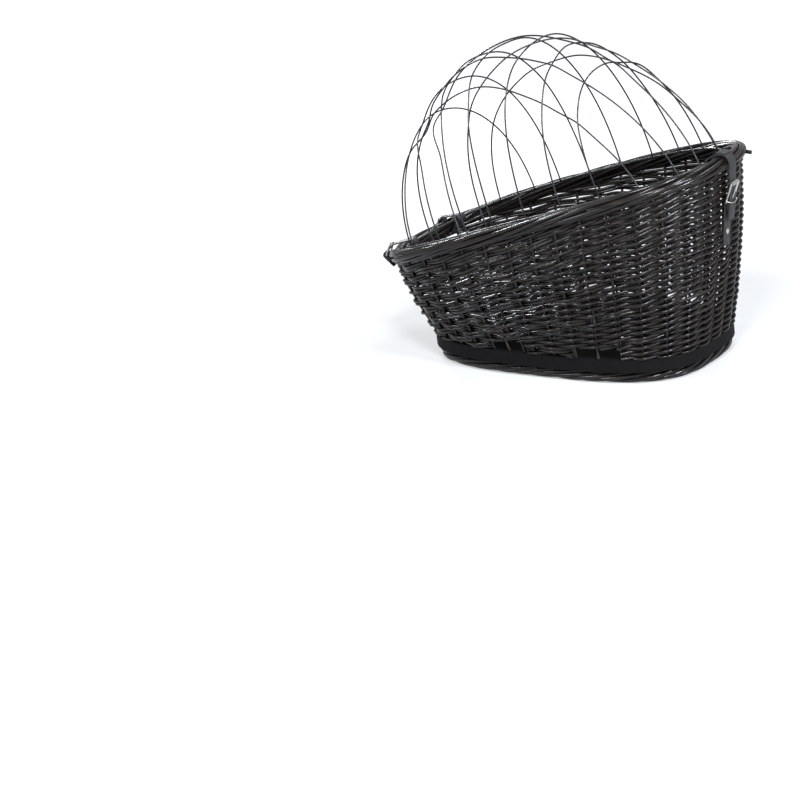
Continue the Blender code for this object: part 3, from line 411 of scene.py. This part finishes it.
def painted_shade_on_board_top(tree):
    """1 on the upper face of the board inside the basket, which gets painted shade and dull paint,
    and 0 below it.
    """
    place = tree.nodes.new("ShaderNodeTexCoord")
    parts = tree.nodes.new("ShaderNodeSeparateXYZ")
    tree.links.new(place.outputs["Object"], parts.inputs["Vector"])
    return calculate(tree, "GREATER_THAN", parts.outputs["Z"], BOARD_HIGH.z - BOARD_TOP_SKIN)


def board_material():
    """Satin paint over plywood: the wood's grain shows faintly through it. Painted shade darkens
    its upper face inside the basket.
    """
    colours = bpy.context.scene.basket_colours
    material, tree, shader = new_material("painted_plywood")
    base = tuple(colours.board)
    wood = grain(tree, WOOD_GRAIN, detail=4.0, roughness=0.6, distortion=0.4)
    tone = colour_ramp(tree, wood, ((0.3, shade_of(base, 0.8)), (0.7, shade_of(base, 1.2))))
    # Painted shade: the board's upper face inside the basket is painted at 0.3 of the paint's
    # colour, and its roughness is raised to 1
    inside = painted_shade_on_board_top(tree)
    tree.links.new(mix_colour(tree, inside, tone, shade_of(base, 0.3)), shader.inputs["Base Color"])
    roughness = calculate(tree, "MAXIMUM", spread(tree, wood, low=0.55, high=0.72), inside)
    tree.links.new(roughness, shader.inputs["Roughness"])
    shader.inputs["Specular IOR Level"].default_value = 0.08
    bump(tree, shader, wood, strength=0.25, distance=0.0003)
    return material


def wire_material():
    """Black coat on steel wire, slightly uneven as dipped."""
    colours = bpy.context.scene.basket_colours
    material, tree, shader = new_material("dipped_wire")
    base = tuple(colours.wire)
    uneven = grain(tree, WIRE_DIPS, detail=3.0)
    tone = colour_ramp(tree, uneven, ((0.3, shade_of(base, 0.7)), (0.75, shade_of(base, 1.8))))
    tree.links.new(tone, shader.inputs["Base Color"])
    tree.links.new(spread(tree, uneven, low=0.24, high=0.40), shader.inputs["Roughness"])
    bump(tree, shader, uneven, strength=0.15, distance=0.0004)
    return material


# Modelling helpers

def deselect_all():
    bpy.ops.object.select_all(action="DESELECT")


def select_only(obj):
    deselect_all()
    obj.select_set(True)
    bpy.context.view_layer.objects.active = obj


def rods(name, lines, resolution):
    """Round rods along lines of (points, radii, closed), converted to one mesh."""
    curve = bpy.data.curves.new(name, "CURVE")
    curve.dimensions = "3D"
    curve.bevel_depth = 1.0
    curve.bevel_resolution = resolution
    curve.use_fill_caps = True
    curve.twist_mode = "MINIMUM"
    for points, radii, closed in lines:
        spline = curve.splines.new("POLY")
        spline.points.add(len(points) - 1)
        for target, point, radius in zip(spline.points, points, radii):
            target.co = (*point, 1.0)
            target.radius = radius
        spline.use_cyclic_u = closed
    obj = bpy.data.objects.new(name, curve)
    bpy.context.scene.collection.objects.link(obj)
    select_only(obj)
    bpy.ops.object.convert(target="MESH")
    obj = bpy.context.active_object
    obj.name = name
    bpy.ops.object.shade_smooth()
    return obj


def copy_of(node, name):
    """A copy of a frame node whose loose triangles are merged, to be refined."""
    obj = bpy.data.objects.new(name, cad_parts[node].data.copy())
    bpy.context.scene.collection.objects.link(obj)
    select_only(obj)
    bpy.ops.object.mode_set(mode="EDIT")
    bpy.ops.mesh.select_all(action="SELECT")
    bpy.ops.mesh.remove_doubles(threshold=MERGE_DISTANCE)
    bpy.ops.mesh.tris_convert_to_quads(
        face_threshold=QUAD_THRESHOLD, shape_threshold=QUAD_THRESHOLD)
    bpy.ops.object.mode_set(mode="OBJECT")
    return obj


def finish_piece(obj, body, material, slot, *nodes):
    obj.data.materials.clear()
    obj.data.materials.append(material)
    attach(obj, body)
    if nodes:
        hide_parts(*nodes)
    return obj


def give_material(node, material):
    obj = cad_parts[node]
    obj.data.materials.clear()
    obj.data.materials.append(material)


# Shapes of the basket

def oval(angle, half_length, half_width, front_power, rear_power):
    """A point of an oval whose squareness differs between its front and rear halves."""
    across, along = math.sin(angle), math.cos(angle)
    power = front_power if along < 0 else rear_power
    scale = (abs(along) ** power + abs(across) ** power) ** (-1 / power)
    return Vector((half_length * along * scale, half_width * across * scale))


def rim_plan(angle):
    return oval(angle, RIM_HALF_LENGTH, RIM_HALF_WIDTH, *RIM_POWERS) + Vector((RIM_MIDDLE_X, 0))


def board_plan(angle, inset):
    half_length, half_width = BOARD_HALF_LENGTH - inset, BOARD_HALF_WIDTH - inset
    plan = oval(angle, half_length, half_width, BOARD_POWER, BOARD_POWER)
    return plan + Vector((BOARD_MIDDLE_X, 0))


def rim_height(x):
    share = (x - RIM_MIDDLE_X + RIM_HALF_LENGTH) / (2 * RIM_HALF_LENGTH)
    low, high = RIM_HEIGHTS
    return low + (high - low) * share + RIM_BOW * (1 - (2 * share - 1) ** 2)


def wall_foot():
    return BOARD_HIGH.z + WALL_FOOT_GAP


def wall_top(x):
    """The weave runs up into the rim's bundle of rods."""
    return rim_height(x) - WALL_END_BELOW_RIM


def wall_plan(angle, share):
    """A point of the wall's middle surface without its belly, seen from above."""
    return board_plan(angle, WALL_THICKNESS / 2).lerp(rim_plan(angle), share)


def wall_point(angle, share, outward):
    """A point of the wall's middle surface at a share of its height, moved outward."""
    ahead, behind = wall_plan(angle + TANGENT_STEP, share), wall_plan(angle - TANGENT_STEP, share)
    along = (ahead - behind).normalized()
    normal = Vector((along.y, -along.x))
    rim = rim_plan(angle)
    from_middle = Vector((rim.x - RIM_MIDDLE_X, rim.y)).normalized()
    bulge = from_middle * WALL_BELLY * math.sin(math.pi * share)
    place = wall_plan(angle, share) + bulge + normal * outward
    low = wall_foot()
    return Vector((place.x, place.y, low + (wall_top(rim.x) - low) * share))


def even_angles(count):
    """Angles that space points evenly along the wall at mid height."""
    fine = np.linspace(0.0, 2 * math.pi, RUN_SAMPLES)
    points = np.array([wall_point(angle, 0.5, 0.0)[:2] for angle in fine])
    run = np.concatenate(([0.0], np.cumsum(np.linalg.norm(np.diff(points, axis=0), axis=1))))
    return np.interp(np.linspace(0.0, run[-1], count, endpoint=False), run, fine)


def in_opening(point, margin=0.0):
    """Whether a point of the wall lies in one of the low openings at its sides."""
    if point.z > OPENING_TOP + margin or abs(point.y) < BOARD_HALF_WIDTH * OPENING_SIDE_SHARE:
        return False
    return any(start - margin < point.x < end + margin for start, end in OPENINGS)


def in_strap_slot(point):
    """Whether a point of the wall lies where a front strap passes under the rim."""
    beside = point.x < SLOT_REAR_X and abs(abs(point.y) - STRAP_Y) < SLOT_HALF_WIDTH
    return beside and point.z > wall_top(point.x) - SLOT_DEPTH


# Pieces

class BASKET_OT_wall_weave(bpy.types.Operator):
    """Weave the wall: rods that pass before and behind the stakes, climbing as they go round"""
    bl_idname = "basket.wall_weave"
    bl_label = "Wall weave"

    def execute(self, context):
        weave = context.scene.basket_weave
        material = willow_material("dyed_willow_rods", (0, 1))
        obj = rods("wall_weave", woven_lines(weave), COARSE)
        finish_piece(obj, "basket", material, "dyed_willow", "wicker_wall")
        return {"FINISHED"}


def woven_lines(weave):
    """Lines of all woven rods: each climbs one row a stake, and a higher wall has more of them."""
    dice = random.Random(WEAVE_SEED)
    stakes = weave.stakes
    samples = stakes * SAMPLES_PER_STAKE
    angles = even_angles(samples)
    low = wall_foot()
    heights = np.array([wall_top(rim_plan(angle).x) - low for angle in angles])
    counts = heights / weave.row_pitch
    full = counts.max()
    turns = np.arange(samples + 1) / SAMPLES_PER_STAKE
    names = np.arange(-stakes, int(full) + 2)
    wobble = {
        name: (dice.uniform(-LIFT, LIFT), dice.uniform(SIZE_LOW, SIZE_HIGH), dice.uniform(-1, 1))
        for name in names
    }
    shares, weights = row_places(names, turns, counts, full, stakes)
    lines = []
    for row, name in enumerate(names):
        lift, size, sway = wobble[name]
        points, radii = [], []
        for column in range(samples + 1):
            around = column % samples
            weight = weights[row, column]
            place = turns[column]
            share = shares[row, column] + lift * weave.row_pitch / heights[around]
            share = min(max(share, SHARE_LOW), SHARE_HIGH)
            packed = min(max((share - PACKED_FROM) / PACKED_RUN, 0.0), 1.0)
            phase = math.cos(math.pi * (place + name))
            phase = math.copysign(abs(phase) ** SWING_POWER, phase)
            outward = weave.swing * phase * (1 + SWAY * sway * math.sin(place * SWAY_RATE + name))
            outward *= 1 - PACKED_SWING * packed
            point = wall_point(angles[around], share, outward)
            if weight < LEAST_WEIGHT or in_opening(point, weave.rod_radius) or in_strap_slot(point):
                if len(points) >= LEAST_POINTS:
                    lines.append((points, radii, False))
                points, radii = [], []
                continue
            points.append(point)
            thinned = LEAST_SIZE + (1 - LEAST_SIZE) * math.sqrt(weight)
            radii.append(weave.rod_radius * size * thinned * (1 + PACKED_SWELL * packed))
        if len(points) >= LEAST_POINTS:
            lines.append((points, radii, False))
    return lines


def row_places(names, turns, counts, full, stakes):
    """Each rod's share of the wall's height at each place round it, and how far it is there."""
    rank = full * ((names * RANK_STRIDE) % stakes) / stakes
    shares = np.empty((len(names), len(turns)))
    weights = np.empty_like(shares)
    for column, turn in enumerate(turns):
        count = counts[column % len(counts)]
        label = names + turn
        present = np.clip((count - rank) / FADE_ROWS + 0.5, 0.0, 1.0)
        present *= np.clip(label + 0.5, 0.0, 1.0) * np.clip(full - label + 0.5, 0.0, 1.0)
        total = np.cumsum(present)
        shares[:, column] = (total - present / 2) / total[-1]
        weights[:, column] = present
    return shares, weights


class BASKET_OT_stakes(bpy.types.Operator):
    """Set the upright stakes of the wall, with extra ones at each opening's sides and middle"""
    bl_idname = "basket.stakes"
    bl_label = "Stakes"

    def execute(self, context):
        weave = context.scene.basket_weave
        material = willow_material("dyed_willow_stakes", (2,))
        lines = []
        for angle in even_angles(weave.stakes):
            shares = np.linspace(0.0, 1.0, STAKE_POINTS)
            points = [wall_point(angle, share, 0.0) for share in shares]
            if any(in_opening(point) for point in points[:2]):
                points = [point for point in points if not in_opening(point, weave.stake_radius)]
            lines.append((points, [weave.stake_radius] * len(points), False))
        pale_lines = []
        for start, end in OPENINGS:
            for x, group in (
                (start - OPENING_SIDE_GAP, lines),
                ((start + end) / 2, pale_lines),
                (end + OPENING_SIDE_GAP, lines),
            ):
                group += [short_stake(angle_at(x, side), weave.stake_radius) for side in (-1, 1)]
        obj = rods("wall_stakes", lines, COARSE)
        finish_piece(obj, "basket", material, "dyed_willow", "wicker_wall")
        pale = rods("opening_stakes", pale_lines, COARSE)
        # The middle stake of each opening gets willow tones 4.5 times lighter than the other stakes
        pale_material = willow_material("pale_willow_stakes", (2,), PALE_STAKE_FACTOR)
        finish_piece(pale, "basket", pale_material, "dyed_willow")
        return {"FINISHED"}


def short_stake(angle, radius):
    """A thinner stake that reaches from the board to above an opening."""
    shares = np.linspace(0.0, SHORT_STAKE_SHARE, SHORT_STAKE_POINTS)
    points = [wall_point(angle, share, 0.0) for share in shares]
    return points, [radius * SHORT_STAKE_SIZE] * len(points), False


def angle_at(x, side):
    """The angle at which the wall's foot has a given x on the near or far side."""
    low, high = 0.0, math.pi
    for _ in range(HALVINGS):
        middle = (low + high) / 2
        if wall_point(middle, 0.0, 0.0).x > x:
            low = middle
        else:
            high = middle
    return side * (low + high) / 2


def rope_lines(centre, count, turns, width, height, radius, steps, dice):
    """Rods laid round a closed centre line as a slowly turning bundle."""
    lines = []
    angles = np.linspace(0.0, 2 * math.pi, steps, endpoint=False)
    middle = [centre(angle) for angle in angles]
    lengths = [(after - before).length for before, after in zip(middle, middle[1:] + middle[:1])]
    run = np.concatenate(([0.0], np.cumsum(lengths)))
    for index in range(count):
        size = radius * dice.uniform(*ROPE_SIZES)
        points, radii = [], []
        for step in range(steps):
            along = (middle[(step + 1) % steps] - middle[step - 1]).normalized()
            side = along.cross(Vector((0, 0, 1))).normalized()
            up = side.cross(along)
            round_share = run[step] / run[-1]
            sways = ROPE_SWAYS + index % ROPE_SWAY_KINDS
            sway = ROPE_SWAY * math.sin(round_share * 2 * math.pi * sways + index)
            turn = 2 * math.pi * (index / count + turns * round_share) + sway
            beside = middle[step] + side * width * math.cos(turn)
            points.append(beside + up * height * math.sin(turn))
            swell = ROPE_SWELL * math.sin(run[step] * ROPE_SWELL_RATE + index * ROPE_SWELL_SHIFT)
            radii.append(size * (1 + swell))
        lines.append((points, radii, True))
    return lines


def core_line(centre, radius, steps, dice):
    """The thick rod in the middle of a bundle."""
    return rope_lines(centre, 1, 0, 0.0, 0.0, radius, steps, dice)


def rim_line(angle):
    plan = rim_plan(angle)
    return Vector((plan.x, plan.y, rim_height(plan.x)))


class BASKET_OT_rim(bpy.types.Operator):
    """Lay the rods of the rim border round its core"""
    bl_idname = "basket.rim"
    bl_label = "Rim border"

    def execute(self, context):
        weave = context.scene.basket_weave
        material = willow_material("dyed_willow_border", (0, 1))
        radius = weave.border_rod_radius
        reach = RIM_REACH - radius
        around, inside = (random.Random(seed) for seed in RIM_SEEDS)
        lines = rope_lines(
            rim_line, weave.border_rods, weave.border_turns, reach, reach, radius, RIM_STEPS[0],
            around)
        lines += core_line(rim_line, RIM_CORE, RIM_STEPS[1], inside)
        lines += [loose_end(*end, radius * LOOSE_END_SIZE) for end in LOOSE_ENDS]
        obj = rods("rim_rods", lines, FINE)
        finish_piece(obj, "basket", material, "dyed_willow", "rim_border")
        return {"FINISHED"}


def loose_end(start, end, turn, reach, splay, radius):
    """A cut rod end that leaves the rim straight on, where the rim curves away from it."""
    points = []
    for angle in np.linspace(math.radians(start), math.radians(end), LOOSE_END_POINTS):
        ahead = rim_line(angle + ANGLE_STEP) - rim_line(angle)
        along = (ahead if end > start else -ahead).normalized()
        side = Vector((along.y, -along.x, 0)).normalized()
        if side.dot(rim_line(angle) - Vector((RIM_MIDDLE_X, 0, 0))) < 0:
            side = -side
        around = side * math.cos(turn) + Vector((0, 0, 1)) * math.sin(turn)
        points.append(rim_line(angle) + around * (LOOSE_END_REACH - radius))
    away = (along * (1 - splay) + around * splay).normalized() * reach
    points += [points[-1] + away * share for share in LOOSE_END_SHARES]
    return points, [radius] * len(points), False


def foot_line(angle):
    plan = board_plan(angle, FOOT_MIDDLE_INSET)
    return Vector((plan.x, plan.y, (FOOT_LOW.z + FOOT_HIGH.z) / 2))


class BASKET_OT_foot(bpy.types.Operator):
    """Weave the border under the board that the basket stands on"""
    bl_idname = "basket.foot"
    bl_label = "Foot border"

    def execute(self, context):
        weave = context.scene.basket_weave
        material = willow_material("dyed_willow_foot", (0, 1))
        width = FOOT_REACH - FOOT_ROD
        height = (FOOT_HIGH.z - FOOT_LOW.z) / 2 - FOOT_FLOOR_GAP
        around, inside = (random.Random(seed) for seed in FOOT_SEEDS)
        lines = rope_lines(
            foot_line, weave.foot_rods, weave.foot_turns, width, height, FOOT_ROD * FOOT_ROD_SIZE,
            FOOT_STEPS[0], around)
        lines += core_line(foot_line, FOOT_CORE, FOOT_STEPS[1], inside)
        obj = rods("foot_rods", lines, FINE)
        finish_piece(obj, "basket", material, "dyed_willow", "foot_border")
        return {"FINISHED"}


class BASKET_OT_dome(bpy.types.Operator):
    """Smooth the ring and hoops of the wire dome and give them their dipped coat"""
    bl_idname = "basket.dome"
    bl_label = "Wire dome"

    def execute(self, context):
        material = wire_material()
        for node in [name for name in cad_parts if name.startswith("dome_")]:
            smooth_wire(node, material)
        return {"FINISHED"}


def smooth_wire(node, material):
    """Rounds a wire of the frame, a little swollen because rounding shrinks it."""
    obj = copy_of(node, node + "_wire")
    bpy.ops.object.mode_set(mode="EDIT")
    bpy.ops.mesh.select_all(action="SELECT")
    bpy.ops.transform.shrink_fatten(value=RING_SWELL if node == "dome_ring" else HOOP_SWELL)
    bpy.ops.object.mode_set(mode="OBJECT")
    smoothing = obj.modifiers.new("smoothing", "SUBSURF")
    smoothing.levels = WIRE_SUBDIVISIONS
    smoothing.render_levels = WIRE_SUBDIVISIONS
    bpy.ops.object.modifier_apply(modifier=smoothing.name)
    bpy.ops.object.shade_smooth()
    finish_piece(obj, "dome", material, "coated_wire", node)


class BASKET_OT_straps(bpy.types.Operator):
    """Round the edges of the leather straps and finish them as dyed leather"""
    bl_idname = "basket.straps"
    bl_label = "Leather straps"

    def execute(self, context):
        material = leather_material()
        for node, body in STRAPS:
            obj = copy_of(node, node + "_leather")
            edges = obj.modifiers.new("edges", "BEVEL")
            edges.width = STRAP_EDGE
            edges.segments = STRAP_EDGE_SEGMENTS
            edges.limit_method = "ANGLE"
            edges.angle_limit = STRAP_EDGE_ANGLE
            bpy.ops.object.modifier_apply(modifier=edges.name)
            bpy.ops.object.shade_smooth_by_angle(angle=STRAP_SMOOTH_ANGLE)
            finish_piece(obj, body, material, "black_leather", node)
        return {"FINISHED"}


class BASKET_OT_metalwork(bpy.types.Operator):
    """Plate the buckles, rivet and clamp set, and bend the rear buckle's lower side"""
    bl_idname = "basket.metalwork"
    bl_label = "Metalwork"

    def execute(self, context):
        colours = context.scene.basket_colours
        nickel = plated_material(
            "nickel_plate", tuple(colours.nickel), low=0.26, high=0.40, speckle=260.0)
        zinc = plated_material(
            "zinc_plate", tuple(colours.zinc), low=0.34, high=0.50, speckle=420.0)
        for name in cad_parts:
            if "buckle" in name or "prong" in name or name in ("rear_roller", "rear_rivet"):
                give_material(name, nickel)
            elif name.startswith(("clamp", "carriage", "washer", "wing")):
                give_material(name, zinc)
        bar_line = (BUCKLE_BAR, [BUCKLE_BAR_RADIUS] * len(BUCKLE_BAR), False)
        bar = rods("rear_buckle_bar", [bar_line], FINE)
        finish_piece(bar, "basket", nickel, "nickel_steel")
        return {"FINISHED"}


class BASKET_OT_board(bpy.types.Operator):
    """Paint the plywood board"""
    bl_idname = "basket.board"
    bl_label = "Base board"

    def execute(self, context):
        give_material("base_board", board_material())
        return {"FINISHED"}


class BASKET_OT_stage(bpy.types.Operator):
    """Set the floor, the pale surroundings, the soft lights and the camera"""
    bl_idname = "basket.stage"
    bl_label = "Stage"

    def execute(self, context):
        scene = context.scene
        scene.view_settings.view_transform = "Standard"
        deselect_all()
        bpy.ops.mesh.primitive_plane_add(size=FLOOR_SIZE, location=(0, 0, FLOOR_HEIGHT))
        floor = context.active_object
        floor.name = "pale_floor"
        bpy.ops.object.transform_apply(location=True, rotation=True, scale=True)
        floor.data.materials.append(floor_material())
        pale_world(scene)
        add_camera(scene)
        for light in LIGHTS:
            add_area_light(scene, *light)
        return {"FINISHED"}


def camera_sees(tree):
    """1 where a ray comes from the camera or through glass, and a share of it off a mirror."""
    path = tree.nodes.new("ShaderNodeLightPath")
    mirrored = calculate(tree, "MULTIPLY", path.outputs["Is Glossy Ray"], MIRRORED_SHARE)
    seen = calculate(tree, "MAXIMUM", path.outputs["Is Camera Ray"], mirrored)
    return calculate(tree, "MAXIMUM", seen, path.outputs["Is Transmission Ray"])


def floor_material():
    """A pale floor that the camera sees as a white sheet, still darkened by the shadow on it."""
    material, tree, shader = new_material("pale_floor")
    shader.inputs["Roughness"].default_value = 0.9
    shader.inputs["Base Color"].default_value = (FLOOR_GREY, FLOOR_GREY, FLOOR_GREY, 1.0)
    shader.inputs["Emission Color"].default_value = (1.0, 1.0, 1.0, 1.0)
    place = tree.nodes.new("ShaderNodeTexCoord")
    distance = tree.nodes.new("ShaderNodeVectorMath")
    distance.operation = "LENGTH"
    tree.links.new(place.outputs["Object"], distance.inputs[0])
    glow = spread(tree, distance.outputs["Value"], *FLOOR_GLOW, *FLOOR_GLOW_DISTANCES)
    seen_glow = calculate(tree, "MULTIPLY", camera_sees(tree), glow)
    tree.links.new(seen_glow, shader.inputs["Emission Strength"])
    return material


def pale_world(scene):
    """Surroundings that look white to the camera and light the basket faintly."""
    world = bpy.data.worlds.new("pale_surroundings")
    scene.world = world
    world.use_nodes = True
    tree = world.node_tree
    tree.nodes.clear()
    lighting = background(tree, SKY_COLOUR, SKY_STRENGTH)
    seen = background(tree, (SEEN_GREY, SEEN_GREY, SEEN_GREY), 1.0)
    mixing = tree.nodes.new("ShaderNodeMixShader")
    output = tree.nodes.new("ShaderNodeOutputWorld")
    tree.links.new(camera_sees(tree), mixing.inputs["Fac"])
    tree.links.new(lighting, mixing.inputs[1])
    tree.links.new(seen, mixing.inputs[2])
    tree.links.new(mixing.outputs["Shader"], output.inputs["Surface"])


def background(tree, colour, strength):
    node = tree.nodes.new("ShaderNodeBackground")
    node.inputs["Color"].default_value = (*colour, 1.0)
    node.inputs["Strength"].default_value = strength
    return node.outputs["Background"]


def add_camera(scene):
    data = bpy.data.cameras.new("camera")
    data.sensor_width = CAMERA_SENSOR
    data.lens = CAMERA_LENS
    data.shift_x, data.shift_y = CAMERA_SHIFT
    camera = bpy.data.objects.new("camera", data)
    scene.collection.objects.link(camera)
    camera.matrix_world = Matrix.Translation(CAMERA_PLACE) @ Matrix(CAMERA_TURN).to_4x4()
    scene.camera = camera


def add_area_light(scene, name, place, size, power, colour):
    data = bpy.data.lights.new(name, "AREA")
    data.size = size
    data.energy = power
    data.color = colour
    light = bpy.data.objects.new(name, data)
    scene.collection.objects.link(light)
    light.location = place
    light.rotation_euler = (LIGHTS_AIM - light.location).to_track_quat("-Z", "Y").to_euler()


class BASKET_PT_panel(bpy.types.Panel):
    """Lists the pieces of the basket and their sizes and colours"""
    bl_idname = "BASKET_PT_panel"
    bl_label = "Dog Basket"
    bl_space_type = "VIEW_3D"
    bl_region_type = "UI"
    bl_category = "Dog Basket"

    def draw(self, context):
        layout = self.layout
        for operator in OPERATORS:
            layout.operator(operator.bl_idname)
        for group in (context.scene.basket_weave, context.scene.basket_colours):
            box = layout.box()
            for name in group.__annotations__:
                box.prop(group, name)


OPERATORS = (
    BASKET_OT_wall_weave,
    BASKET_OT_stakes,
    BASKET_OT_rim,
    BASKET_OT_foot,
    BASKET_OT_board,
    BASKET_OT_dome,
    BASKET_OT_straps,
    BASKET_OT_metalwork,
    BASKET_OT_stage,
)
CLASSES = (BasketWeave, BasketColours, *OPERATORS, BASKET_PT_panel)


def register():
    for item in CLASSES:
        bpy.utils.register_class(item)
    bpy.types.Scene.basket_weave = PointerProperty(type=BasketWeave)
    bpy.types.Scene.basket_colours = PointerProperty(type=BasketColours)


def unregister():
    del bpy.types.Scene.basket_colours
    del bpy.types.Scene.basket_weave
    for item in reversed(CLASSES):
        bpy.utils.unregister_class(item)


def main():
    register()
    bpy.ops.basket.wall_weave()
    bpy.ops.basket.stakes()
    bpy.ops.basket.rim()
    bpy.ops.basket.foot()
    bpy.ops.basket.board()
    bpy.ops.basket.dome()
    bpy.ops.basket.straps()
    bpy.ops.basket.metalwork()
    bpy.ops.basket.stage()


if __name__ == "__main__":
    main()
